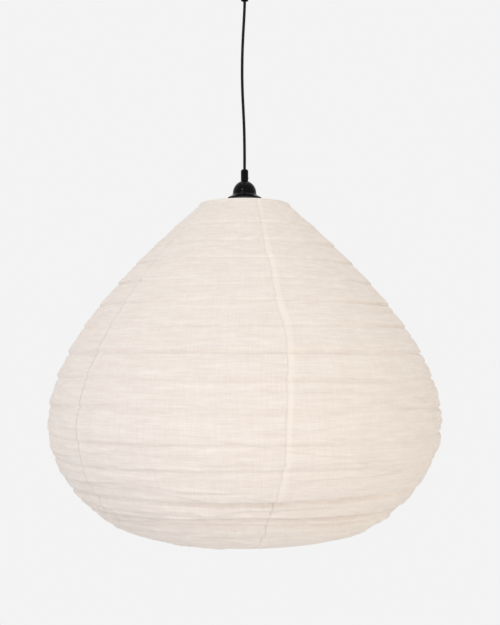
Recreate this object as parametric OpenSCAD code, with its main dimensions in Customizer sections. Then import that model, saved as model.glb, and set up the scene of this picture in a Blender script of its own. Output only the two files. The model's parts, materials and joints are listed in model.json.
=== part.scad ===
// Drop-shaped accordion lantern: a linen shade folded over steel hoops, hung by
// a wire frame on an E27 pendant lampholder, a short flex and a ceiling cup.
// Millimetres. The origin is on the ceiling, on the lamp's axis, and +Z is up.

/* [Shade] */
// Largest outside diameter of the shade
shade_d = 650; // [540:1:800]
// Height from the top hoop to the bottom hoop
shade_h = 550; // [450:1:680]
// Height of the widest level above the bottom hoop
belly_h = 186; // [140:1:220]
// Outside diameter of the fabric at the top hoop
top_d = 151; // [140:1:190]
// Outside diameter of the fabric at the bottom hoop
mouth_d = 314; // [260:1:400]
// Fall of the fabric below the horizontal where it leaves the top hoop
shoulder_slope = 42; // [30:1:50]
// Length of fabric between the top hoop and the next one
first_band = 58; // [40:1:70]
// Thickness of the doubled and pressed linen
fabric_t = 0.8; // [0.5:0.1:1.2]
// Bearing of the first seam, from the lamp's right, seen from above
seam_bearing = -79; // [-180:1:180]

/* [Hoops] */
// Thickness of the hoops' steel wire
hoop_wire = 2; // [1.6:0.1:3]
// Room between a hoop and the fabric around it
hoop_gap = 0.5; // [0.3:0.1:1]

/* [Inner frame] */
// Drop of the shade's top edge below the rim of the lampholder's cap
frame_drop = 10; // [7:0.5:14]
// Thickness of the inner frame's wire
frame_wire = 3; // [2.5:0.1:4]
// Thickness of the hub's steel sheet
hub_t = 1.5; // [1:0.1:2]
// Distance from the lamp's axis to a leg's hinge
leg_hinge_r = 37; // [35:0.5:42]
// Radial room of a leg's bar in its eye
hinge_clearance = 0.05; // [0.02:0.01:0.1]
// Room between a seat of the frame and the hem that rests on it
seat_gap = 0.3; // [0.2:0.1:0.5]

/* [Lampholder] */
// Height from the ceiling down to the top of the lampholder's cord grip
grip_drop = 353; // [340:1:420]
// Diameter of the cord grips
grip_d = 12.6; // [12:0.2:16]
// Length of the lampholder's cord grip above the cap
grip_h = 21.5; // [18:0.5:30]
// Height of the bell-shaped cap
cap_h = 29; // [26:0.5:34]
// Diameter of the cap's flared rim
cap_rim_d = 57; // [54:0.5:62]
// Wall of the cap
cap_wall = 2; // [1.5:0.1:2.5]
// Outside diameter of the lampholder's sleeve
sleeve_d = 39.5; // [38:0.1:40]
// Length of the sleeve below the cap
sleeve_h = 42; // [38:1:50]
// Height of the ring nut that clamps the frame
ring_h = 8; // [6:0.5:12]
// Radial room of the ring nut on the sleeve
ring_clearance = 0.08; // [0.03:0.01:0.1]
// Inside radius of the brass screw shell
shell_r = 13.3; // [13.2:0.05:13.4]
// Length of the brass screw shell
shell_h = 26; // [22:1:28]

/* [Flex] */
// Diameter of the flex
flex_d = 4.8; // [4:0.1:5.4]
// Radial room of the flex in its grips
flex_clearance = 0.3; // [0.2:0.1:0.5]

/* [Ceiling fitting] */
// Outside diameter of the ceiling cup
cup_d = 90; // [80:1:110]
// Height of the ceiling cup
cup_h = 46; // [40:1:52]
// Wall of the ceiling cup
cup_wall = 2; // [1.5:0.1:3]
// Spacing of the two slots for the ceiling screws
slot_spacing = 50; // [40:1:56]
// Width of those slots
slot_w = 5; // [4:0.5:6]
// Length of those slots, end to end
slot_l = 10; // [8:0.5:14]
// Thickness of the ceiling bracket
bracket_t = 1.5; // [1:0.1:2]
// Width of the ceiling bracket
bracket_w = 20; // [16:1:26]

/* [Hidden] */
$fn = 96;
hoop_count = 17;
gore_count = 6;
function two_digits(n) = str(n < 10 ? "0" : "", n);
HOOPS = [for (n = [1 : hoop_count]) str("hoop_", two_digits(n))];
GORES = [for (n = [1 : gore_count]) str("gore_", n)];

// Curve of the shade's fabric, as [radius, height] from the top hoop down: one
// cubic arc from the shoulder to the belly, and one from the belly to the mouth.
shoulder_pull = 156;
belly_pull_up = 128;
belly_pull_down = 74;
base_pull = 98;
base_slope = 8;
top_drop = grip_drop + grip_h + cap_h + frame_drop;
top_point = [top_d / 2, -top_drop];
mouth_point = [mouth_d / 2, -top_drop - shade_h];
belly_point = [shade_d / 2, mouth_point[1] + belly_h];
upper_arc = [top_point,
             top_point + shoulder_pull * [cos(shoulder_slope), -sin(shoulder_slope)],
             belly_point + [0, belly_pull_up], belly_point];
lower_arc = [belly_point, belly_point - [0, belly_pull_down],
             mouth_point + base_pull * [cos(base_slope), sin(base_slope)], mouth_point];
function bezier(p, t) = pow(1 - t, 3) * p[0] + 3 * pow(1 - t, 2) * t * p[1]
                      + 3 * (1 - t) * t * t * p[2] + t * t * t * p[3];
arc_steps = 40;
curve = [for (i = [0 : arc_steps]) bezier(upper_arc, i / arc_steps),
         for (i = [1 : arc_steps]) bezier(lower_arc, i / arc_steps)];
function run_to(i) = i == 0 ? 0 : run_to(i - 1) + norm(curve[i] - curve[i - 1]);
runs = [for (i = [0 : len(curve) - 1]) run_to(i)];
fabric_run = runs[len(runs) - 1];
function fabric_point(s) = [lookup(s, [for (i = [0 : len(runs) - 1]) [runs[i], curve[i][0]]]),
                            lookup(s, [for (i = [0 : len(runs) - 1]) [runs[i], curve[i][1]]])];
function fabric_out(s) =
    let (step = fabric_point(s + 1) - fabric_point(s - 1)) [-step[1], step[0]] / norm(step);
function fabric_depth(s, depth) = fabric_point(s) - depth * fabric_out(s);

// Hoops sit inside the fabric: the first band is longer, and the rest are equal.
band = (fabric_run - first_band) / (hoop_count - 2);
function hoop_run(n) = n == 1 ? 0 : first_band + (n - 2) * band;
hoop_depth = fabric_t + hoop_gap + hoop_wire / 2;
function hoop_at(n) = fabric_depth(hoop_run(n), hoop_depth);
hem_inner_r = hoop_wire / 2 + 0.3;
hem_r = hem_inner_r + fabric_t;
hem_margin = hem_r + 0.5;

// Heights in the lampholder and the ceiling fitting.
bell_mouth = 8;
swing_room = 16;
end_gap = 0.8;
cap_top = -grip_drop - grip_h;
cap_bottom = cap_top - cap_h;
hub_top = cap_bottom - 0.3;
hub_bottom = hub_top - hub_t;
ring_top = hub_bottom - 0.3;
insert_r = 15.4;
insert_h = 10;
insert_well = 4;
rivet_r = 1.2;
rivet_x = -5.5;
insert_bottom = cap_bottom + 1.5;
sleeve_bottom = cap_bottom - sleeve_h;
cup_pivot = -cup_h - 10;
grip_pivot = -grip_drop - bell_mouth;
tab_h = 12;
bracket_l = 2 * sqrt(pow(cup_d / 2 - cup_wall, 2) - pow(bracket_w / 2, 2)) - 0.6;
cup_screw_z = -7;
cup_screw_r = 2;
block_size = [20, 12, 12];
block_bottom = -bracket_t - block_size[2];
frame_bend = 0.85 * frame_wire;
seat_z = hoop_at(1)[1] - hem_r - seat_gap - frame_wire / 2;
arm_z = seat_z + 2 * frame_bend + 0.2;
ear_bottom = arm_z + frame_wire / 2;
leg_hinge_z = ear_bottom - frame_wire / 2 - 3;
core_d = 1.8;
core_x = 1.2;
pole_x = 6.5;
pole_z = block_bottom + 3;

// Route of the flex between its two pivots, a gentle bow to the left.
flex_route = [[0, 0, cup_pivot], [0, 0, -72], [-1, 0, -95], [-2.6, 0.5, -125], [-3.8, 1, -155],
              [-4.2, 1, -185], [-4, 1, -205], [-3.2, 0.8, -230], [-2, 0.5, -255],
              [-0.9, 0.2, -280], [-0.3, 0, -305], [0, 0, -330], [0, 0, -350],
              [0, 0, grip_pivot]];

function unit(v) = v / norm(v);

black = [0.05, 0.05, 0.05];
steel = [0.72, 0.72, 0.7];
brass = [0.8, 0.65, 0.3];
linen = [0.94, 0.91, 0.86];

// The points of path with each corner turned into an arc of radius bend_r.
function bent(path, bend_r) =
    let (last = len(path) - 1, arc_steps = 5)
    [path[0],
     for (i = [1 : last - 1]) let (
         u = unit(path[i] - path[i - 1]),
         v = unit(path[i + 1] - path[i]),
         turn = acos(u * v),
         w = unit(v - (u * v) * u),
         centre = path[i] - bend_r * tan(turn / 2) * u + bend_r * w)
         for (k = [0 : arc_steps])
             centre + bend_r * (sin(turn * k / arc_steps) * u - cos(turn * k / arc_steps) * w),
     path[last]];

// A round wire or cord swept through centres, with its rings square to the path;
// side is a direction that the path never runs along.
module sweep(centres, d, side, sides = 10) {
    last = len(centres) - 1;
    rings = [for (n = [0 : last]) let (
        t = unit(centres[min(n + 1, last)] - centres[max(n - 1, 0)]),
        v = unit(cross(t, side)),
        u = cross(v, t))
        for (k = [0 : sides - 1])
            centres[n] + d / 2 * (cos(360 * k / sides) * u + sin(360 * k / sides) * v)];
    walls = [for (n = [0 : last - 1]) for (k = [0 : sides - 1]) let (m = (k + 1) % sides)
        for (f = [[n * sides + k, (n + 1) * sides + k, (n + 1) * sides + m],
                  [n * sides + k, (n + 1) * sides + m, n * sides + m]]) f];
    ends = [[for (k = [0 : sides - 1]) k], [for (k = [sides - 1 : -1 : 0]) last * sides + k]];
    polyhedron(points = rings, faces = concat(walls, ends));
}

// A tube about the Z axis between two heights.
module tube(r_in, r_out, low, high) {
    rotate_extrude() translate([r_in, low]) square([r_out - r_in, high - low]);
}

// A small pan-headed screw, its head's underside at the origin and its tip at -length.
module screw(shank_r, length) {
    head_h = shank_r;
    difference() {
        union() {
            cylinder(r = 1.9 * shank_r, h = head_h);
            translate([0, 0, -length]) cylinder(r = shank_r, h = length + head_h / 2);
        }
        translate([-2 * shank_r, -0.2 * shank_r, 0.6 * head_h])
            cube([4 * shank_r, 0.4 * shank_r, head_h]);
    }
}

// The flared bore in which the flex swings, from its pivot out to the mouth.
module bell_bore(pivot_z, side) {
    bore_r = flex_d / 2 + flex_clearance;
    mouth_r = bore_r + bell_mouth * tan(swing_room) + 0.1;
    translate([0, 0, pivot_z])
        mirror([0, 0, side < 0 ? 1 : 0])
            cylinder(r1 = bore_r, r2 = mouth_r, h = bell_mouth + 0.01);
}

module ceiling_bracket() {
    tab_x = bracket_l / 2;
    color(steel)
    difference() {
        union() {
            translate([-tab_x, -bracket_w / 2, -bracket_t])
                cube([bracket_l, bracket_w, bracket_t]);
            for (side = [0, 1]) mirror([side, 0, 0])
                translate([tab_x - bracket_t, -bracket_w / 2, -tab_h])
                    cube([bracket_t, bracket_w, tab_h]);
        }
        for (side = [-1, 1]) translate([side * slot_spacing / 2, 0, -bracket_t - 1]) {
            for (end = [-1, 1]) translate([end * (slot_l - slot_w) / 2, 0, 0])
                cylinder(d = slot_w, h = bracket_t + 2);
            translate([-(slot_l - slot_w) / 2, -slot_w / 2, 0])
                cube([slot_l - slot_w, slot_w, bracket_t + 2]);
        }
        for (side = [-1, 1]) translate([side * tab_x, 0, cup_screw_z]) rotate([0, 90, 0])
            cylinder(r = cup_screw_r + 0.05, h = 4 * bracket_t, center = true);
        translate([0, 0, -bracket_t - 1]) cylinder(r = 1.55, h = bracket_t + 2);
    }
}

module ceiling_cup() {
    round_r = 12;
    nipple_r = 5;
    color(black)
    difference() {
        rotate_extrude() union() {
            translate([0, -cup_h]) square([cup_d / 2 - round_r, cup_h]);
            translate([0, -cup_h + round_r]) square([cup_d / 2, cup_h - round_r]);
            intersection() {
                translate([cup_d / 2 - round_r, -cup_h + round_r]) circle(r = round_r);
                translate([0, -cup_h]) square([cup_d / 2, round_r]);
            }
        }
        rotate_extrude() union() {
            inner_r = cup_d / 2 - cup_wall;
            bend_r = round_r - cup_wall;
            translate([0, -cup_h + cup_wall]) square([inner_r - bend_r, cup_h]);
            translate([0, -cup_h + round_r]) square([inner_r, cup_h]);
            intersection() {
                translate([inner_r - bend_r, -cup_h + round_r]) circle(r = bend_r);
                translate([0, -cup_h + cup_wall]) square([inner_r, bend_r]);
            }
        }
        translate([0, 0, -cup_h - 1]) cylinder(r = nipple_r, h = cup_wall + 2);
        for (side = [-1, 1]) translate([side * cup_d / 2, 0, cup_screw_z]) rotate([0, 90, 0])
            cylinder(r = cup_screw_r + 0.15, h = 4 * cup_wall, center = true);
    }
}

module cup_screws() {
    color(black)
    for (side = [0, 1]) mirror([side, 0, 0])
        translate([cup_d / 2, 0, cup_screw_z]) rotate([0, 90, 0]) screw(cup_screw_r, 6);
}

module terminal_block() {
    color([0.9, 0.9, 0.88])
    difference() {
        translate([-block_size[0] / 2, -block_size[1] / 2, block_bottom]) cube(block_size);
        translate([0, 0, block_bottom - 1]) cylinder(r = 1.6, h = block_size[2] + 2);
        for (pole = [-1, 1]) {
            translate([pole * pole_x, 0, block_bottom - 1]) cylinder(r = 1.2, h = 7);
            translate([pole * pole_x, 0, pole_z]) rotate([90, 0, 0]) cylinder(r = 1.55, h = 20);
        }
    }
}

module block_screw() {
    color(steel) translate([0, 0, block_bottom]) mirror([0, 0, 1]) screw(1.5, block_size[2] + 1);
}

module terminal_screws() {
    color(brass)
    for (pole = [-1, 1]) translate([pole * pole_x, -core_d / 2 - 0.1, pole_z]) rotate([90, 0, 0])
        cylinder(r = 1.5, h = block_size[1] / 2 - core_d / 2 + 0.4);
}

module cup_grip() {
    shank_r = 4.9;
    color(black)
    difference() {
        union() {
            translate([0, 0, cup_pivot - bell_mouth]) cylinder(d = grip_d, h = -cup_h - cup_pivot + bell_mouth);
            translate([0, 0, -cup_h]) cylinder(r = shank_r, h = 9);
        }
        translate([0, 0, cup_pivot]) cylinder(r = flex_d / 2 + flex_clearance, h = 30);
        bell_bore(cup_pivot, -1);
        translate([0, 0, -cup_h - 5]) rotate([0, 90, 0]) cylinder(r = 1.55, h = grip_d);
    }
}

module cup_grip_nut() {
    color(black)
    translate([0, 0, -cup_h + cup_wall]) difference() {
        cylinder(d = 17, h = 4, $fn = 6);
        translate([0, 0, -1]) cylinder(r = 4.95, h = 6);
    }
}

module cup_grip_screw() {
    reach = grip_d / 2 + 0.6;
    color(steel)
    translate([flex_d / 2 + 0.1, 0, -cup_h - 5]) rotate([0, 90, 0])
        cylinder(r = 1.5, h = reach - flex_d / 2 - 0.1);
}

// The flex's fixed end in the cup: its sheath up from the pivot, then its two cores.
module cup_flex_tail() {
    sheath_top = -cup_h + 22;
    color(black) {
        translate([0, 0, cup_pivot + end_gap])
            cylinder(d = flex_d, h = sheath_top - cup_pivot - end_gap);
        for (pole = [-1, 1])
            sweep(bent([[pole * core_x, 0, sheath_top - 1], [pole * core_x, 0, sheath_top + 2],
                        [pole * pole_x, 0, sheath_top + 6], [pole * pole_x, 0, pole_z + 1.5]],
                       core_d), core_d, [0, 1, 0]);
    }
}

// The flex between its pivots: rings square to a smooth curve through flex_route.
module flex_cord() {
    rings_per_leg = 2;
    legs = len(flex_route) - 1;
    function route(i) = flex_route[min(max(i, 0), legs)];
    function on_route(i, t) = 0.5 * (2 * route(i) + (route(i + 1) - route(i - 1)) * t
        + (2 * route(i - 1) - 5 * route(i) + 4 * route(i + 1) - route(i + 2)) * t * t
        + (3 * route(i) - route(i - 1) - 3 * route(i + 1) + route(i + 2)) * t * t * t);
    color(black)
    sweep([for (i = [0 : legs - 1]) for (k = [0 : rings_per_leg - 1])
               on_route(i, k / rings_per_leg), route(legs)], flex_d, [0, 1, 0], 8);
}

module holder_grip() {
    round_r = 4.5;
    shank_r = 4.9;
    color(black)
    difference() {
        union() {
            rotate_extrude() union() {
                translate([0, cap_top]) square([grip_d / 2, grip_h - round_r]);
                translate([0, cap_top]) square([grip_d / 2 - round_r, grip_h]);
                intersection() {
                    translate([grip_d / 2 - round_r, -grip_drop - round_r]) circle(r = round_r);
                    translate([0, -grip_drop - round_r]) square([grip_d / 2, round_r]);
                }
            }
            translate([0, 0, cap_top - 7]) cylinder(r = shank_r, h = 8);
        }
        translate([0, 0, cap_top - 8]) cylinder(r = flex_d / 2 + flex_clearance, h = grip_pivot - cap_top + 8);
        bell_bore(grip_pivot, 1);
        translate([0, 0, cap_top + 6]) rotate([0, 90, 0]) cylinder(r = 1.55, h = grip_d);
    }
}

module holder_grip_screw() {
    reach = grip_d / 2 + 0.6;
    color(steel)
    translate([flex_d / 2 + 0.1, 0, cap_top + 6]) rotate([0, 90, 0])
        cylinder(r = 1.5, h = reach - flex_d / 2 - 0.1);
}

// The flex's fixed end in the lampholder: its sheath, then its two cores to the contacts.
module holder_flex_tail() {
    sheath_bottom = cap_top - 10;
    color(black) {
        translate([0, 0, sheath_bottom])
            cylinder(d = flex_d, h = grip_pivot - end_gap - sheath_bottom);
        for (side = [-1, 1])
            sweep(bent([[0, side * core_x, sheath_bottom + 1], [0, side * core_x, sheath_bottom - 1],
                        [0, side * 4, sheath_bottom - 3], [0, side * 4, insert_bottom + insert_h]],
                       core_d), core_d, [1, 0, 0]);
    }
}

// Outline of the bell, drawn once for its outside and once, smaller, for its hollow.
module bell_outline(inset, bottom) {
    dome_h = 20;
    dome_end = 70;
    dome_r = 19.9 - inset;
    rim_r = cap_rim_d / 2 - inset;
    rim_t = 1.6;
    flare_steps = 8;
    flare_top = cap_top - dome_h;
    flare_bottom = cap_bottom + rim_t + inset * 0.4;
    polygon(concat(
        [[0, cap_top - inset]],
        [for (a = [dome_end : -dome_end / 12 : 0])
            [dome_r * cos(a), flare_top + (dome_h - inset) * sin(a) / sin(dome_end)]],
        [for (i = [1 : flare_steps]) let (t = i / flare_steps)
            [dome_r + (rim_r - dome_r) * t * t, flare_top + (flare_bottom - flare_top) * t]],
        [[rim_r, bottom], [0, bottom]]));
}

module holder_cap() {
    nipple_r = 5;
    color(black)
    difference() {
        rotate_extrude() bell_outline(0, cap_bottom);
        rotate_extrude() bell_outline(cap_wall, cap_bottom - 1);
        translate([0, 0, cap_top - cap_wall - 3]) cylinder(r = nipple_r, h = cap_wall + 4);
    }
}

module holder_sleeve() {
    neck_r = 17.4;
    neck_top = cap_bottom + 9;
    color(black)
    difference() {
        union() {
            tube(insert_r + 0.1, neck_r, cap_bottom - 0.1, neck_top);
            tube(insert_r - 0.8, sleeve_d / 2, sleeve_bottom, cap_bottom);
            tube(insert_r - 0.8, insert_r + 0.5, cap_bottom - 0.1, insert_bottom);
        }
        for (a = [0 : 60 : 300]) rotate(a) translate([sleeve_d / 2, 0, sleeve_bottom - 1])
            cylinder(r = 0.8, h = 10);
    }
}

module socket_insert() {
    well_r = 12;
    color([0.88, 0.87, 0.84])
    difference() {
        translate([0, 0, insert_bottom]) cylinder(r = insert_r, h = insert_h);
        translate([0, 0, insert_bottom - 1]) cylinder(r = well_r, h = insert_well + 1);
        for (side = [-1, 1]) translate([0, side * 8.5, insert_bottom + insert_well + 0.8])
            cylinder(r = 1.55, h = insert_h);
        translate([rivet_x, 0, insert_bottom]) cylinder(r = rivet_r + 0.05, h = insert_h + 1);
    }
}

module screw_shell() {
    shell_wall = 0.4;
    color(brass) tube(shell_r, shell_r + shell_wall, insert_bottom - shell_h, insert_bottom);
}

// The sprung tongue that meets the tip of a bulb's cap, with the rivet that holds it.
module centre_contact() {
    tongue_w = 5;
    color(brass)
    translate([0, 0, insert_bottom + insert_well]) {
        translate([0, tongue_w / 2, 0]) rotate([90, 0, 0]) linear_extrude(tongue_w)
            polygon([[-7.5, 0], [-7.5, -0.5], [-4, -0.5], [3, -3.5], [5, -3.2], [5, -2.7],
                     [3, -3], [-3.8, 0]]);
        translate([rivet_x, 0, -0.2]) cylinder(r = rivet_r, h = insert_h - insert_well + 0.2);
    }
}

module contact_screws() {
    color(steel)
    for (side = [-1, 1]) translate([0, side * 8.5, insert_bottom + insert_h]) screw(1.5, 5);
}

module ring_nut() {
    bore_r = sleeve_d / 2 + ring_clearance;
    rib_r = 1;
    outer_r = cap_rim_d / 2 - rib_r;
    color(black)
    union() {
        tube(bore_r, bore_r + 2.4, ring_top - ring_h, ring_top);
        tube(bore_r, outer_r, ring_top - 2.2, ring_top);
        for (a = [0 : 30 : 330]) rotate(a) translate([outer_r - 0.4, 0, ring_top - 2.2])
            cylinder(r = rib_r, h = 2.2);
    }
}

// The hub, clamped under the cap by the ring nut: a disc whose four ears step down
// clear of the nut, two of them with an eye for a leg.
module frame_hub() {
    ear_w = 12;
    ear_in = cap_rim_d / 2 - 4;
    step_in = cap_rim_d / 2 + 0.8;
    step_out = step_in + hub_t;
    ear_tip = leg_hinge_r + 3;
    eye_y = 1.5;
    eye_r = frame_wire / 2 + 2.2;
    color(black)
    difference() {
        union() {
            translate([0, 0, hub_bottom]) cylinder(r = cap_rim_d / 2 - 0.5, h = hub_t);
            for (a = [0, 90, 180, 270]) rotate(a)
                translate([0, ear_w / 2, 0]) rotate([90, 0, 0]) linear_extrude(ear_w)
                    polygon([[ear_in, hub_bottom], [ear_in, hub_top], [step_out, hub_top],
                             [step_out, ear_bottom + hub_t], [ear_tip, ear_bottom + hub_t],
                             [ear_tip, ear_bottom], [step_in, ear_bottom],
                             [step_in, hub_bottom]]);
            for (a = [0, 180]) rotate(a) {
                translate([leg_hinge_r, eye_y / 2, leg_hinge_z]) rotate([90, 0, 0])
                    cylinder(r = eye_r, h = eye_y);
                translate([leg_hinge_r - eye_r, -eye_y / 2, leg_hinge_z])
                    cube([2 * eye_r, eye_y, ear_bottom - leg_hinge_z + 0.5]);
            }
        }
        translate([0, 0, hub_bottom - 1]) cylinder(r = sleeve_d / 2 + 0.6, h = hub_t + 2);
        for (a = [0, 180]) rotate(a) translate([leg_hinge_r, 5, leg_hinge_z]) rotate([90, 0, 0])
            cylinder(r = frame_wire / 2 + hinge_clearance, h = 10);
    }
}

// Two arms welded under the hub's other ears, ending in seats under the top hem.
module frame_arms() {
    hoop_r = hoop_at(1)[0];
    knee_r = hoop_r - hem_r - 0.7 - frame_wire / 2;
    color(steel)
    for (side = [-1, 1])
        sweep(bent([[0, side * (cap_rim_d / 2 + 4), arm_z], [0, side * knee_r, arm_z],
                    [0, side * knee_r, seat_z], [0, side * (hoop_r + 3), seat_z]], frame_bend),
              frame_wire, [1, 0, 0]);
}

// One leg of the frame, to the lamp's right: a hinge bar, the long wire and its foot.
module leg() {
    hoop = hoop_at(hoop_count);
    foot_z = hoop[1] - hem_r - seat_gap - frame_wire / 2;
    knee_r = hoop[0] - hem_r - 0.9 - frame_wire / 2;
    bar_y = 5;
    translate([leg_hinge_r, bar_y + frame_wire / 2, leg_hinge_z]) rotate([90, 0, 0])
        cylinder(d = frame_wire, h = 2 * bar_y + frame_wire / 2);
    sweep(bent([[leg_hinge_r, bar_y, leg_hinge_z], [knee_r, bar_y, hoop[1] + 22],
                [knee_r, bar_y, foot_z], [hoop[0] + 4, bar_y, foot_z]], frame_bend),
          frame_wire - 0.01, [0, 1, 0]);
}

module leg_right() {
    color(steel) leg();
}

module leg_left() {
    color(steel) rotate(180) leg();
}

// Hem n: the fabric turned round hoop n and stitched.
module hem(n) {
    color(linen)
    rotate_extrude() translate(hoop_at(n)) difference() {
        circle(r = hem_r, $fn = 32);
        circle(r = hem_inner_r, $fn = 32);
    }
}

module hoop(n) {
    color(steel) rotate_extrude() translate(hoop_at(n)) circle(d = hoop_wire, $fn = 32);
}

// One sixth of the shade, from seam to seam, straight between one hoop and the next.
module gore(n) {
    runs_down = [hem_margin, for (i = [2 : hoop_count - 1]) hoop_run(i), fabric_run - hem_margin];
    runs_up = [for (i = [len(runs_down) - 1 : -1 : 0]) runs_down[i]];
    color(linen)
    rotate(seam_bearing + (n - 1) * 360 / gore_count) rotate_extrude(angle = 360 / gore_count)
        polygon(concat([for (s = runs_down) fabric_point(s)],
                       [for (s = runs_up) fabric_depth(s, fabric_t)]));
}

ceiling_bracket();
ceiling_cup();
cup_screws();
terminal_block();
block_screw();
terminal_screws();
cup_grip();
cup_grip_nut();
cup_grip_screw();
cup_flex_tail();
flex_cord();
holder_grip();
holder_grip_screw();
holder_flex_tail();
holder_cap();
holder_sleeve();
socket_insert();
screw_shell();
centre_contact();
contact_screws();
ring_nut();
frame_hub();
frame_arms();
leg_right();
leg_left();
hem(1);  // top_hem
hem(hoop_count);  // bottom_hem
for (n = [1 : hoop_count])
    hoop(n);
for (n = [1 : gore_count])
    gore(n);
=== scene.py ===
"""Accordion lantern pendant: a linen shade on wire hoops, a black bell lampholder, its flex and ceiling cup.

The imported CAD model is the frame: hoops, inner frame, lampholder and ceiling fitting keep its meshes and get
their finishes here, and the cloth, its hems and the flex are modelled here. Lengths are metres unless a name
ends in mm. Angles round the lamp are bearings from +X towards +Y."""

import json
import math

import bpy
import numpy as np
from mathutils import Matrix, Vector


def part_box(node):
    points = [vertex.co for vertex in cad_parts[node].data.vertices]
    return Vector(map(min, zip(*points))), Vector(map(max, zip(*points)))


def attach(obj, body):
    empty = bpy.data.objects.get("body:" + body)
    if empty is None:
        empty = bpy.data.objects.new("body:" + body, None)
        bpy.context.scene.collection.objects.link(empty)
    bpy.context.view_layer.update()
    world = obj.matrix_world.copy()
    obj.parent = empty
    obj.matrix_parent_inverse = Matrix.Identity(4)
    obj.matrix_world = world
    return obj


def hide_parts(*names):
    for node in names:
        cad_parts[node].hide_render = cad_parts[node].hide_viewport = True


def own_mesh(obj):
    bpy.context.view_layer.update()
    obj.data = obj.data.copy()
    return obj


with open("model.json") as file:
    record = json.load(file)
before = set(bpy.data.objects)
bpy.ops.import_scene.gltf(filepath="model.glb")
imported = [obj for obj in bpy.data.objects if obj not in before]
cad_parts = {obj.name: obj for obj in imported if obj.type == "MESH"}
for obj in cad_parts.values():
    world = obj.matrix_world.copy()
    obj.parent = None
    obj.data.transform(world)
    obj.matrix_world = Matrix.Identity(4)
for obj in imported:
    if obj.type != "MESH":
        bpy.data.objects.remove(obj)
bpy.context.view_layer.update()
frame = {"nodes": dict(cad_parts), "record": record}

MM = 0.001


# ---- Camera --------------------------------------------------------------------------------------------

camera_place = (0.0092, -1.790, -0.676)
camera_pitch = 2.55  # degrees above level
camera_lens = 61.3  # mm, on a 36 mm sensor


def make_camera():
    """A level-headed view of the lamp from just above its belly, a little right of its axis."""
    data = bpy.data.cameras.new("camera")
    data.lens = camera_lens
    camera = bpy.data.objects.new("camera", data)
    camera.location = camera_place
    camera.rotation_euler = (math.radians(90 + camera_pitch), 0, 0)
    bpy.context.scene.collection.objects.link(camera)
    bpy.context.scene.camera = camera


make_camera()


# ---- Helpers -------------------------------------------------------------------------------------------


def colour(hex_code):
    """An sRGB hex colour as linear RGBA."""
    parts = [int(hex_code[i : i + 2], 16) / 255 for i in (1, 3, 5)]
    linear = [c / 12.92 if c <= 0.04045 else ((c + 0.055) / 1.055) ** 2.4 for c in parts]
    return (*linear, 1.0)


def add(tree, kind, inputs=None, **settings):
    """Adds a node of that kind with its settings, and fills its inputs with values or links."""
    node = tree.nodes.new("ShaderNode" + kind)
    for name, value in settings.items():
        setattr(node, name, value)
    for name, value in (inputs or {}).items():
        if isinstance(value, bpy.types.NodeSocket):
            tree.links.new(value, node.inputs[name])
        else:
            node.inputs[name].default_value = value
    return node


def new_tree(name):
    """A new material of that name with an empty node tree."""
    material = bpy.data.materials.new(name)
    material.use_nodes = True
    material.node_tree.nodes.clear()
    return material, material.node_tree


def smooth_step(t):
    """0 before 0, 1 after 1, and 3t^2 - 2t^3 between."""
    t = np.clip(t, 0.0, 1.0)
    return t * t * (3 - 2 * t)


def patchwork(around, down, cells, rows, seed):
    """Smooth noise from -1 to 1 at (around, down), both in turns: random values on a lattice of cells round by
    rows down, which repeats round the lamp, joined by smooth steps."""
    lattice = np.random.default_rng(seed).uniform(-1, 1, (rows + 2, cells))
    x = (around % 1.0) * cells
    y = np.clip(down, 0.0, 1.0) * rows
    column, row = np.floor(x).astype(int), np.floor(y).astype(int)
    fx, fy = smooth_step(x - column), smooth_step(y - row)
    left, right = column % cells, (column + 1) % cells
    upper = lattice[row, left] * (1 - fx) + lattice[row, right] * fx
    lower = lattice[row + 1, left] * (1 - fx) + lattice[row + 1, right] * fx
    return upper * (1 - fy) + lower * fy


def grid_mesh(name, points, attribute=None):
    """A mesh of quads on a rows x columns grid of points, faces to the side that rows cross columns gives. The
    attribute, three numbers a point, is stored as "weave"."""
    rows, columns = points.shape[:2]
    corner = (np.arange(rows - 1)[:, None] * columns + np.arange(columns - 1)).ravel()
    quads = np.stack([corner, corner + columns, corner + columns + 1, corner + 1], axis=1)
    mesh = bpy.data.meshes.new(name)
    mesh.from_pydata(points.reshape(-1, 3), [], quads)
    mesh.shade_smooth()
    if attribute is not None:
        layer = mesh.attributes.new("weave", "FLOAT_VECTOR", "POINT")
        layer.data.foreach_set("vector", attribute.astype(np.float32).ravel())
    piece = bpy.data.objects.new(name, mesh)
    bpy.context.scene.collection.objects.link(piece)
    return piece


tube_turn = np.linspace(0, 2 * np.pi, 13)  # twelve sides, closed


def tube_mesh(name, centres, across, up, radius, attribute=None):
    """A closed ring tube: round each centre a circle of that radius in the plane of across and up."""
    turn = tube_turn[None, :, None]
    ring = across[:, None] * np.cos(turn) + up[:, None] * np.sin(turn)
    return grid_mesh(name, centres[:, None] + ring * radius[..., None], attribute)


def natural_spline(knots, values, where):
    """The smooth cubic curve through values at knots whose ends are straight, read at where. Its second
    derivatives come from one linear solve."""
    step = np.diff(knots)
    count = len(knots)
    matrix, pull = np.eye(count), np.zeros(count)
    for i in range(1, count - 1):
        matrix[i, i - 1 : i + 2] = step[i - 1], 2 * (step[i - 1] + step[i]), step[i]
        pull[i] = 6 * ((values[i + 1] - values[i]) / step[i] - (values[i] - values[i - 1]) / step[i - 1])
    bend = np.linalg.solve(matrix, pull)
    i = np.clip(np.searchsorted(knots, where, side="right") - 1, 0, count - 2)
    h = step[i]
    a, b = (knots[i + 1] - where) / h, (where - knots[i]) / h
    curved = ((a**3 - a) * bend[i] + (b**3 - b) * bend[i + 1]) * h**2 / 6
    return a * values[i] + b * values[i + 1] + curved


# ---- Materials -----------------------------------------------------------------------------------------


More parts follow.
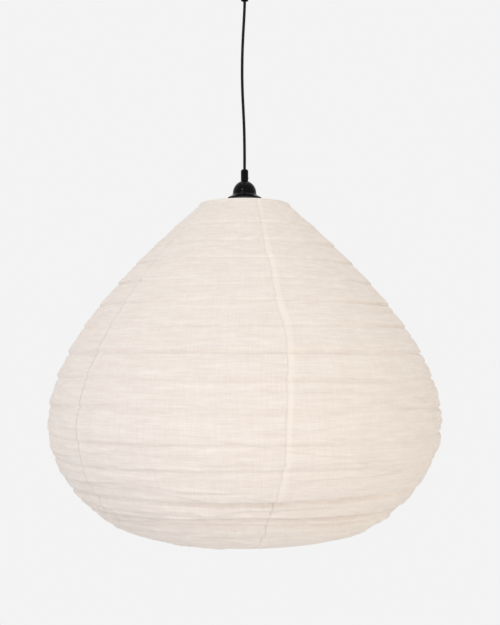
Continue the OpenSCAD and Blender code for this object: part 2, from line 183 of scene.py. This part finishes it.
def principled(tree, **values):
    """A Principled shader with those inputs, underscores standing for spaces, joined to the output."""
    shader = add(tree, "BsdfPrincipled", {name.replace("_", " "): v for name, v in values.items()})
    add(tree, "OutputMaterial", {"Surface": shader.outputs["BSDF"]})
    return shader


def two_tone(tree, value, low, high):
    """The value as a colour that runs between two stops, each a position and a hex colour."""
    ramp = add(tree, "ValToRGB", {"Fac": value})
    for element, (position, hex_code) in zip(ramp.color_ramp.elements, (low, high)):
        element.position = position
        element.color = colour(hex_code)
    return ramp.outputs["Color"]


def linen():
    """Undyed woven linen, loosely spun: matt, with a faint sheen, thick and thin slubs in both directions and a
    little light showing through. The threads are about 0.8 mm apart, too fine to show, so the slubs are drawn
    2 mm wide and 30 mm long, with broader ones of 6 by 60 mm round the lamp. A lap, of two layers, lets less
    light through and looks paler, and that paleness is painted in as a paler colour. The "weave" attribute
    gives metres round, metres down, and how much of that painted paleness a point gets, up to about 1 on a lap."""
    material, tree = new_tree("woven_linen")
    weave = add(tree, "Attribute", attribute_name="weave").outputs["Vector"]

    def slubs(round_mm, down_mm, seed):
        """Noise stretched to that size round and down the lamp, moved aside by its seed."""
        size = (1 / (round_mm * MM), 1 / (down_mm * MM), 0)
        scaled = add(tree, "VectorMath", {0: weave, 1: size}, operation="MULTIPLY")
        moved = add(tree, "VectorMath", {0: scaled.outputs[0], 1: (seed, seed, seed)}, operation="ADD")
        noise = {"Vector": moved.outputs[0], "Scale": 1.0, "Detail": 2.0, "Roughness": 0.6}
        return add(tree, "TexNoise", noise).outputs["Fac"]

    def mix(share, first, second):
        """Two noises mixed, with that share of the second."""
        node = add(tree, "Mix", {"Factor": share, "A": first, "B": second}, data_type="FLOAT")
        return node.outputs[0]

    threads = mix(0.4, slubs(30, 2, seed=3.1), slubs(2, 30, seed=7.7))
    height = mix(0.35, threads, slubs(60, 6, seed=5.3))
    tone = two_tone(tree, height, (0.32, "#EEE4DC"), (0.64, "#FBF5EE"))
    # Painted light: on a lap the colour is mixed towards a paler cream, for the look of doubled cloth that lets
    # less light through.
    painted_light_share = add(tree, "SeparateXYZ", {"Vector": weave}).outputs["Z"]
    lapped = add(
        tree, "Mix", {"Factor": painted_light_share, "A": tone, "B": colour("#FDF6EC")}, data_type="RGBA"
    ).outputs["Result"]
    bump = add(tree, "Bump", {"Strength": 0.5, "Distance": 0.2 * MM, "Height": height}).outputs["Normal"]
    cloth = add(
        tree,
        "BsdfPrincipled",
        {
            "Base Color": lapped,
            "Roughness": 0.92,
            "Sheen Weight": 0.15,
            "Sheen Roughness": 0.5,
            "Specular IOR Level": 0.25,
            "Normal": bump,
        },
    )
    glow = add(tree, "BsdfTranslucent", {"Color": lapped, "Normal": bump})
    mixed = add(tree, "MixShader", {0: 0.2, 1: cloth.outputs["BSDF"], 2: glow.outputs["BSDF"]})
    add(tree, "OutputMaterial", {"Surface": mixed.outputs["Shader"]})
    return material


def grained(tree, size_mm, distance_mm, strength=0.5):
    """A bump of fine grain of that size and height, from Object coordinates."""
    place = add(tree, "TexCoord").outputs["Object"]
    noise = add(tree, "TexNoise", {"Vector": place, "Scale": 1 / (size_mm * MM), "Detail": 2.0})
    bump = add(
        tree, "Bump", {"Strength": strength, "Distance": distance_mm * MM, "Height": noise.outputs["Fac"]}
    )
    return noise, bump


def blotched(tree, noise, dark, light):
    """A grain's noise as a colour between two hex colours."""
    return two_tone(tree, noise.outputs["Fac"], (0.35, dark), (0.65, light))


def moulded_black():
    """Black phenolic, compression moulded and polished by its mould: deep black and glossy, with a faint
    orange-peel of a few millimetres."""
    material, tree = new_tree("moulded_black_phenolic")
    noise, bump = grained(tree, size_mm=4, distance_mm=0.02)
    principled(
        tree,
        Base_Color=blotched(tree, noise, "#060607", "#0A0A0B"),
        Roughness=0.2,
        Specular_IOR_Level=0.08,
        Normal=bump.outputs["Normal"],
    )
    return material


def flex_sheath():
    """Black PVC sheath, extruded: satin, with a fine drag grain."""
    material, tree = new_tree("extruded_black_pvc")
    noise, bump = grained(tree, size_mm=1.2, distance_mm=0.05)
    principled(
        tree,
        Base_Color=blotched(tree, noise, "#09090A", "#0F0E0F"),
        Roughness=0.45,
        Specular_IOR_Level=0.12,
        Normal=bump.outputs["Normal"],
    )
    return material


def coated_wire(name, dark, light):
    """Drawn steel wire with a thin powder coat: soft satin with a slight orange peel."""
    material, tree = new_tree(name)
    noise, bump = grained(tree, size_mm=1.5, distance_mm=0.04)
    principled(
        tree,
        Base_Color=blotched(tree, noise, dark, light),
        Roughness=0.42,
        Normal=bump.outputs["Normal"],
    )
    return material


def metal(name, dark, light, roughness, grain_mm):
    """Bare or plated metal whose tone wanders a little, with fine tool marks."""
    material, tree = new_tree(name)
    noise, bump = grained(tree, size_mm=grain_mm, distance_mm=0.03)
    principled(
        tree,
        Base_Color=blotched(tree, noise, dark, light),
        Metallic=1.0,
        Roughness=roughness,
        Normal=bump.outputs["Normal"],
    )
    return material


def moulded_pale(name, dark, light, roughness):
    """Pale moulded plastic or glazed ceramic, lightly mottled."""
    material, tree = new_tree(name)
    noise, bump = grained(tree, size_mm=2, distance_mm=0.02)
    principled(
        tree,
        Base_Color=blotched(tree, noise, dark, light),
        Roughness=roughness,
        Normal=bump.outputs["Normal"],
    )
    return material


finishes = {
    "linen": linen(),
    "hoop_steel": coated_wire("white_coated_hoop_wire", "#E6E2DA", "#EFECE5"),
    "frame_steel": coated_wire("white_coated_frame_wire", "#E4E2DD", "#EEEDE9"),
    "hub_steel": coated_wire("black_coated_steel_sheet", "#0E0E0F", "#151516"),
    "zinc_steel": metal("zinc_plated_steel", "#B4B6B8", "#C9CBCD", roughness=0.34, grain_mm=0.8),
    "brass": metal("pressed_brass", "#C9A24E", "#D9B668", roughness=0.28, grain_mm=1.0),
    "black_plastic": moulded_black(),
    "flex_sheath": flex_sheath(),
    "white_plastic": moulded_pale("white_polyamide", "#E9E7E0", "#F1F0EA", roughness=0.4),
    "ivory_plastic": moulded_pale("glazed_steatite", "#E8E0CC", "#F0E9D8", roughness=0.22),
}


def finish_nodes():
    """Gives each CAD node the finish of its slot in the record."""
    for part in frame["record"]["subparts"]:
        mesh = frame["nodes"][part["node"]].data
        mesh.materials.clear()
        mesh.materials.append(finishes[part["material_slot"]])


def finish(piece, slot):
    """Gives a new piece that slot's material."""
    piece.data.materials.append(finishes[slot])


finish_nodes()


# ---- Flex ----------------------------------------------------------------------------------------------

flex_diameter = 4.8 * MM
flex_route_mm = [
    (0, 0, -56),
    (0, 0, -72),
    (-1, 0, -95),
    (-2.6, 0.5, -125),
    (-3.8, 1, -155),
    (-4.2, 1, -185),
    (-4, 1, -205),
    (-3.2, 0.8, -230),
    (-2, 0.5, -255),
    (-0.9, 0.2, -280),
    (-0.3, 0, -305),
    (0, 0, -330),
    (0, 0, -350),
    (0, 0, -361),
]


def rounded_route(points, steps):
    """The Catmull-Rom curve through the points: each stretch is a cubic whose end slopes are half the gap
    between the neighbours on either side."""
    ends = np.vstack([2 * points[0] - points[1], points, 2 * points[-1] - points[-2]])
    t = np.linspace(0, 1, steps, endpoint=False)[:, None]
    stretches = [
        0.5 * (2 * b + (c - a) * t + (2 * a - 5 * b + 4 * c - d) * t**2 + (3 * b - a - 3 * c + d) * t**3)
        for a, b, c, d in zip(ends, ends[1:], ends[2:], ends[3:])
    ]
    return np.vstack([*stretches, points[-1:]])


def make_flex():
    """The free flex from the ceiling cup's grip down to the lampholder's grip, hanging nearly straight."""
    route = rounded_route(np.array(flex_route_mm, float) * MM, steps=8)
    curve = bpy.data.curves.new("flex", "CURVE")
    curve.dimensions = "3D"
    curve.bevel_depth = flex_diameter / 2
    curve.bevel_resolution = 6
    curve.use_fill_caps = True
    spline = curve.splines.new("POLY")
    spline.points.add(len(route) - 1)
    spline.points.foreach_set("co", np.column_stack([route, np.ones(len(route))]).ravel())
    spline.use_smooth = True
    flex = bpy.data.objects.new("flex", curve)
    bpy.context.scene.collection.objects.link(flex)
    finish(flex, "flex_sheath")
    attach(flex, "flex")
    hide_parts("flex_cord")


make_flex()


# ---- The shade's outline, from its hoops ---------------------------------------------------------------

hoop_names = sorted(name for name in frame["nodes"] if name.startswith("hoop_"))
gore_names = sorted(name for name in frame["nodes"] if name.startswith("gore_"))
cloth_thickness = 0.4 * MM
seam_bearing = math.radians(-79)


def hoop_places():
    """Each hoop's centre-line radius and height, and the wire's radius, from the CAD boxes."""
    boxes = [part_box(name) for name in hoop_names]
    wire = (boxes[0][1].z - boxes[0][0].z) / 2
    radii = np.array([high.x - wire for low, high in boxes])
    heights = np.array([(low.z + high.z) / 2 for low, high in boxes])
    return radii, heights, wire


hoop_radii, hoop_heights, hoop_wire = hoop_places()
hoop_run = np.concatenate([[0], np.cumsum(np.hypot(np.diff(hoop_radii), np.diff(hoop_heights)))])
cloth_length = float(hoop_run[-1])


def outline(run):
    """Radius, height and outward normal of the hoops' line at each run down the shade from its top hoop."""
    small = 0.5 * MM
    radius = natural_spline(hoop_run, hoop_radii, run)
    height = natural_spline(hoop_run, hoop_heights, run)
    ahead, behind = np.clip(run + small, 0, cloth_length), np.clip(run - small, 0, cloth_length)
    along_r = natural_spline(hoop_run, hoop_radii, ahead) - natural_spline(hoop_run, hoop_radii, behind)
    along_z = natural_spline(hoop_run, hoop_heights, ahead) - natural_spline(hoop_run, hoop_heights, behind)
    size = np.hypot(along_r, along_z)
    return radius, height, -along_z / size, along_r / size


# ---- Cloth ---------------------------------------------------------------------------------------------

lap_width = 11 * MM
lap_rise = 0.2 * MM
hoop_gap = 0.1 * MM  # from a hoop's wire to the cloth
weave_radius = 0.3  # m, where the weave's metres round are true
rows_per_band = 34
columns_per_gore = 84

# By band, from the top, in mm: how deep the cloth turns in under its hoop, how much deeper the crease at the
# foot of that turn is, how far below the hoop the turn starts, and how far the cloth hangs out above the next
tuck_mm = [0.7, 0.9, 1.0, 1.3, 1.5, 1.3, 1.3, 1.5, 1.3, 1.8, 2.0, 1.8, 3.4, 7.0, 5.0, 1.8]
pinch_mm = [0.6, 1.2, 1.5, 2.0, 2.5, 2.3, 2.3, 2.8, 2.6, 3.0, 2.6, 2.4, 9.5, 18.0, 16.5, 5.5]
reach_mm = [4, 2, 2, 1, 1, 2, 3, 5, 4, 7, 7, 6, 13, 7, 8, 4]
slack_mm = [-0.6, -0.5, -0.4, -0.3, -0.3, -0.2, -0.3, -0.4, 0.2, 1.2, 1.4, 0.8, 0.8, 0.8, 0.6, 0.4]
# By band, how much further it hangs out on the lamp's right, and in on its left, in mm
lean_mm = [0.0, 0.0, 0.0, 0.0, 0.2, 0.5, 1.0, 1.6, 2.0, 2.2, 1.0, 0.0, -0.5, -0.5, 0.0, 0.0]
# Sideways drift of a seam at each hoop, in mm
drift_mm = [9, 9, 7, 6, 5, 5, 9, 10, 7, 5, 1, 1, -3, -10, -11, -11, -12]


def pleat(below, place, fold_width, end):
    """A fold's depth from 0 to 1: a smooth step in over its width, then straight back out to nothing at end.
    Its place is held 1 mm or more below the hoop, and its foot 8 mm or more before the end."""
    place = np.clip(place, 1 * MM, end - fold_width - 8 * MM)
    back = np.clip((end - below) / (end - place - fold_width), 0, 1)
    return smooth_step((below - place) / fold_width) * back


def crease(below, place, width):
    """A crease's depth from 0 to 1: e^-x^2, with x the distance from its place over its width."""
    return np.exp(-(((below - place) / width) ** 2))


def turned_fold(noise):
    """A fold's height from 0 to 1 where the noise rises through 0: a quick smooth step up, then a slow fall."""
    return smooth_step(noise / 0.12) * (1 - np.clip(noise, 0, 1)) ** 2


def cloth_relief(turn, run):
    """How far the cloth stands out from its even line, at a bearing in turns and a run down the shade. Below
    each hoop one pleat with a crease at its foot turns it in, and in places a second, up to half as deep, lies
    lower down; their places wander and their depths swell and fade by patchwork noise. Above the belly both are
    deepest at the lamp's sides, and below it shallowest there. Between hoops the cloth hangs out by a sine bent
    towards the lower hoop. Long folds, short folds and a fine crumple of patchwork noise lie over that, and all
    of it fades to nothing at a hoop."""
    bands = len(hoop_run)
    band = np.clip(np.searchsorted(hoop_run, run, side="right") - 1, 0, bands - 2)
    width = np.diff(hoop_run)[band]
    below = run - hoop_run[band]
    down = run / cloth_length
    right = np.cos(2 * np.pi * turn)
    tuck, pinch, reach, slack, lean = (
        np.array(values)[band] * MM for values in (tuck_mm, pinch_mm, reach_mm, slack_mm, lean_mm)
    )
    looseness = smooth_step((down - 0.35) / 0.3)  # 0 on the slope, 1 from the belly down
    low = smooth_step((down - 0.6) / 0.15)  # 0 above the belly, 1 below it

    def by_band(cells, seed):
        """Noise that changes from band to band, with that many cells round the lamp."""
        return patchwork(turn, band / bands, cells, bands, seed)

    fold_width = (3.5 + 2.5 * looseness) * MM
    crease_width = (2.2 + 1.3 * looseness + 1.2 * low) * MM
    end = width - 3 * MM
    place = reach + (2 + 4.0 * looseness - 2 * low) * MM * by_band(8, seed=12)
    second_place = place + 0.36 * width + 4 * MM * by_band(9, seed=16)
    second_depth = 0.55 * smooth_step(1.6 * by_band(10, seed=15))
    pleats = pleat(below, place, fold_width, end) + second_depth * pleat(
        below, second_place, fold_width, end
    )
    creases = crease(below, place + fold_width, crease_width) + second_depth * crease(
        below, second_place + fold_width, crease_width
    )
    turned_in = tuck * pleats * (0.8 + 0.4 * by_band(11, seed=14))
    creased_in = pinch * creases * (0.7 + 0.5 * by_band(12, seed=17))
    at_sides = 1 + (0.15 * right + 0.35 * right**2) * (1 - low) - 0.5 * right**2 * low
    hang = slack * (0.8 + 0.5 * by_band(9, seed=21)) + lean * right
    hang = hang * np.sin(np.pi * (below / width) ** 1.5)

    sway = 0.012 * np.sin(2 * np.pi * (3 * turn + 0.2)) + 0.01 * np.sin(2 * np.pi * (5 * turn + 0.7))
    long_fold = turned_fold(patchwork(turn, down + sway, 9, 36, seed=31))
    short_fold = turned_fold(patchwork(turn + 0.02 * np.sin(20 * down), down - sway, 26, 60, seed=32))
    folds = long_fold * (0.3 + 1.0 * looseness + 0.9 * low) + short_fold * (0.25 + 0.6 * looseness)
    crumple = patchwork(turn, down, 90, 40, seed=41) * 0.2 + patchwork(turn, down, 170, 90, seed=42) * 0.1
    clear_of_hoops = smooth_step(below / (4 * MM)) * smooth_step((width - below) / (5 * MM))
    return (hang - (turned_in + creased_in) * at_sides + (folds - 0.6 * crumple) * MM) * clear_of_hoops


def seam_place(number, run):
    """The bearing of a seam at each run: its even share of the turn, and its drift over the radius there, which
    the front seam has whole and the others in part, with a small jog of its own in each band."""
    seam = number % len(gore_names)
    drift = natural_spline(hoop_run, np.array(drift_mm, float) * MM, run)
    jogs = np.random.default_rng(60 + seam).uniform(-1.6, 1.6, len(hoop_run)) * MM
    jog = jogs[np.clip(np.searchsorted(hoop_run, run) - 1, 0, len(jogs) - 1)]
    share = 1.0 if seam == 0 else 0.6
    radius = natural_spline(hoop_run, hoop_radii, run)
    return seam_bearing + number * math.pi / 3 + (share * drift + jog) / radius


def painted_lap_light(number, turn, down, from_edge):
    """How much painted paleness a gore's lap gets, from 0 to 1, standing in for doubled cloth's paler look in
    light:
    a strip about the middle of the lap, 0.4 of its width at the top and all of it from 0.35 of the way down. It
    is plainest on the front seam, fades to less below 0.74, and comes and goes by patchwork noise."""
    plain = (1.0 if number == 0 else 0.3) * (1 - 0.6 * smooth_step((down - 0.74) / 0.06))
    strip = (0.4 + 0.6 * smooth_step(down / 0.35)) * lap_width
    past_strip = np.abs(from_edge - lap_width / 2) - strip / 2
    shown = plain * (1 - smooth_step((past_strip + 1 * MM) / (2 * MM)))
    return shown * (0.8 + 0.3 * patchwork(turn, down + 0 * turn, 6, 40, seed=51))


def make_gore(number):
    """One gore of the shade's cloth, lapped over the gore before it and under the next. Each row runs round
    from half a lap before one seam to half a lap past the next, at the outline plus the relief along the
    outward normal; near its first seam it rises to lie on the other gore. In a band the rows are spaced as
    t^1.2, closer below a hoop, where the folds are. Half the cloth's thickness lies to each side."""
    within = (np.arange(rows_per_band) / rows_per_band)[None] ** 1.2
    starts, widths = hoop_run[:-1, None], np.diff(hoop_run)[:, None]
    run = np.append((starts + widths * within).ravel(), cloth_length)[:, None]
    radius, height, out_r, out_z = outline(run)
    first = seam_place(number, run) - lap_width / 2 / radius
    last = seam_place(number + 1, run) + lap_width / 2 / radius
    bearing = first + (last - first) * np.linspace(0, 1, columns_per_gore)
    turn = bearing / (2 * np.pi)
    from_edge = (bearing - first) * radius
    lapped = 1 - smooth_step((from_edge - lap_width) / (2.5 * MM))
    out = hoop_wire + cloth_thickness / 2 + hoop_gap + lap_rise * lapped * (1.0 if number == 0 else 0.6)
    out = out + cloth_relief(turn, np.broadcast_to(run, bearing.shape))
    r = radius + out_r * out
    points = np.stack([r * np.cos(bearing), r * np.sin(bearing), height + out_z * out], axis=-1)
    # Painted light: how far each point's colour is drawn towards the lap's paler cream.
    lap_painted_light = painted_lap_light(number, turn, run / cloth_length, from_edge)
    weave = np.stack([bearing * weave_radius, np.broadcast_to(run, bearing.shape), lap_painted_light], axis=-1)
    gore = grid_mesh(f"gore_cloth_{number + 1}", points, weave)
    solid = gore.modifiers.new("thickness", "SOLIDIFY")
    solid.thickness = cloth_thickness
    solid.offset = 0
    finish(gore, "linen")
    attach(gore, "shade")
    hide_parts(gore_names[number])
    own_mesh(gore)


for number in range(len(gore_names)):
    make_gore(number)


# ---- Hems ----------------------------------------------------------------------------------------------

hem_radius = 2.1 * MM
# Painted light: the hem's doubled cloth is drawn a quarter of the way to the lap's paler cream.
hem_painted_light = 0.25


def make_hem(name, node, body, hoop, puckers):
    """Cloth turned round an end hoop and stitched: a rolled ring whose radius swells and pinches between the
    stitches, as 0.94 + 0.06 cos(puckers x bearing)."""
    bearing = np.linspace(0, 2 * np.pi, puckers * 6 + 1)
    out = np.column_stack([np.cos(bearing), np.sin(bearing), np.zeros_like(bearing)])
    up = np.broadcast_to(np.array([0.0, 0.0, 1.0]), out.shape)
    centres = out * hoop_radii[hoop] + up * hoop_heights[hoop]
    radius = hem_radius * (0.94 + 0.06 * np.cos(puckers * bearing))[:, None] * np.ones_like(tube_turn)
    # The third number paints the hem paler, as doubled cloth.
    weave = np.stack(
        np.broadcast_arrays(bearing[:, None] * weave_radius, tube_turn * hem_radius, hem_painted_light), axis=-1
    )
    hem = tube_mesh(name, centres, out, up, radius, weave)
    finish(hem, "linen")
    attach(hem, body)
    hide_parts(node)


make_hem("top_hem_cloth", "top_hem", "shade", hoop=0, puckers=120)
make_hem("bottom_hem_cloth", "bottom_hem", "bottom_hoop", hoop=-1, puckers=250)


# ---- Stage ---------------------------------------------------------------------------------------------

paper_white = "#F3F3F3"
floor_height = -2.4
floor_reach = 2.4
floor_fade_from = 0.55  # of its reach
floor_shown_share = 0.7  # of the backdrop's own colour, the rest taking shadow


def seen_by_camera(tree):
    """1 for rays that show the backdrop: from the camera, in a gloss or through glass."""
    path = add(tree, "LightPath").outputs
    direct = {0: path["Is Camera Ray"], 1: path["Is Glossy Ray"]}
    direct = add(tree, "Math", direct, operation="MAXIMUM").outputs[0]
    through = {0: direct, 1: path["Is Transmission Ray"]}
    return add(tree, "Math", through, operation="MAXIMUM").outputs[0]


def make_world():
    """A pale room: the backdrop's own colour where it is seen, and an even soft light for the rest."""
    world = bpy.data.worlds.new("pale_room")
    world.use_nodes = True
    tree = world.node_tree
    tree.nodes.clear()
    light = add(tree, "Background", {"Color": colour("#FFFDFB"), "Strength": 0.75}).outputs[0]
    shown = add(tree, "Background", {"Color": colour(paper_white), "Strength": 1.0}).outputs[0]
    mixed = add(tree, "MixShader", {0: seen_by_camera(tree), 1: light, 2: shown})
    add(tree, "OutputWorld", {"Surface": mixed.outputs[0]})
    bpy.context.scene.world = world


def make_floor():
    """A pale round floor that fades out at its rim and keeps a soft part of the lamp's shadow. It is clear from
    below."""
    rings, spokes = 3, 96
    radius = np.linspace(0.001, floor_reach, rings)[:, None]
    bearing = np.linspace(0, 2 * np.pi, spokes)[None]
    points = np.stack(
        np.broadcast_arrays(radius * np.cos(bearing), radius * np.sin(bearing), floor_height), axis=-1
    )
    floor = grid_mesh("floor", points)
    material, tree = new_tree("pale_floor")
    place = add(tree, "TexCoord").outputs["Object"]
    flat = add(tree, "VectorMath", {0: place, 1: (1, 1, 0)}, operation="MULTIPLY").outputs[0]
    reach = add(tree, "VectorMath", {0: flat}, operation="LENGTH").outputs["Value"]
    rim = {"Value": reach, "From Min": floor_reach * floor_fade_from, "From Max": floor_reach}
    fade = add(tree, "MapRange", rim, interpolation_type="SMOOTHSTEP").outputs[0]
    matt = add(tree, "BsdfDiffuse", {"Color": colour(paper_white)}).outputs[0]
    shown = add(tree, "Emission", {"Color": colour(paper_white), "Strength": 1.0}).outputs[0]
    share = add(tree, "Math", {0: seen_by_camera(tree), 1: floor_shown_share}, operation="MULTIPLY")
    surface = add(tree, "MixShader", {0: share.outputs[0], 1: matt, 2: shown}).outputs[0]
    clear = add(tree, "BsdfTransparent").outputs[0]
    underside = add(tree, "NewGeometry").outputs["Backfacing"]
    hidden = add(tree, "Math", {0: fade, 1: underside}, operation="MAXIMUM").outputs[0]
    faded = add(tree, "MixShader", {0: hidden, 1: surface, 2: clear})
    add(tree, "OutputMaterial", {"Surface": faded.outputs[0]})
    floor.data.materials.append(material)


def make_light(name, place, size, watts, hex_code, target=(0, 0, -0.7)):
    """A square soft light at place, turned to the target."""
    data = bpy.data.lights.new(name, "AREA")
    data.shape = "SQUARE"
    data.size = size
    data.energy = watts
    data.color = colour(hex_code)[:3]
    light = bpy.data.objects.new(name, data)
    light.location = place
    heading = np.array(target, float) - np.array(place, float)
    pitch = math.acos(-heading[2] / float(np.linalg.norm(heading)))
    light.rotation_euler = (pitch, 0, math.atan2(-heading[0], heading[1]))
    light.visible_camera = False
    bpy.context.scene.collection.objects.link(light)


make_world()
make_floor()
make_light("key_light", (-1.8, -2.6, -1.1), size=2.0, watts=18.5, hex_code="#EDEEFF")
make_light("fill_light", (2.1, -2.0, -1.2), size=1.8, watts=19.5, hex_code="#FFF1E0")
make_light("top_light", (0.1, 0.2, 1.6), size=1.6, watts=4.5, hex_code="#FFFCF6")
make_light("glint", (-0.94, -1.96, 0.69), size=0.1, watts=10, hex_code="#FFFFFF", target=(0, 0, -0.39))

bpy.context.scene.view_settings.view_transform = "Standard"
